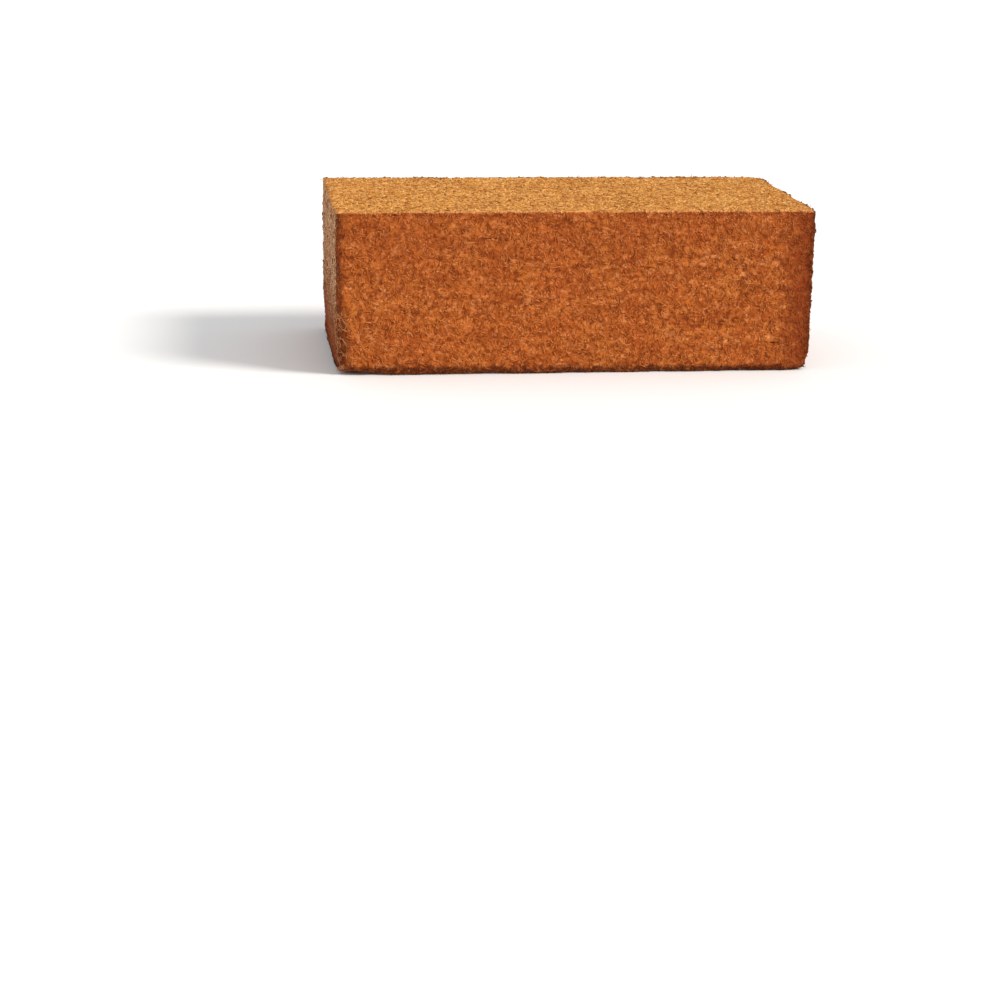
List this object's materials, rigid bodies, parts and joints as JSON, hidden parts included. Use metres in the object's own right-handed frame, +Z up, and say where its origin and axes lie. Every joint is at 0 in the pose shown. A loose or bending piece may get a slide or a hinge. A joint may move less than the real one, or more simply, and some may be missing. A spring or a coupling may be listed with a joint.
{
  "type": "coconut coir bale",
  "caption": "Pressed rectangular block of coconut coir pith and short fibre, with crisp top edges, worn base corners and layer cracks.",
  "frame": {"origin": "middle of the base, on the surface that the block rests on", "axes": "+X along the length, +Z up through the pressed layers, and -Y is the front wall that faces the viewer"},
  "size_m": [0.2006, 0.1008, 0.068],
  "materials": {
    "coir": "matt, rough, rust-brown pressed pith with short lighter fibres"
  },
  "bodies": {
    "root": {"coir_bale": "coir"}
  },
  "joints": []
}
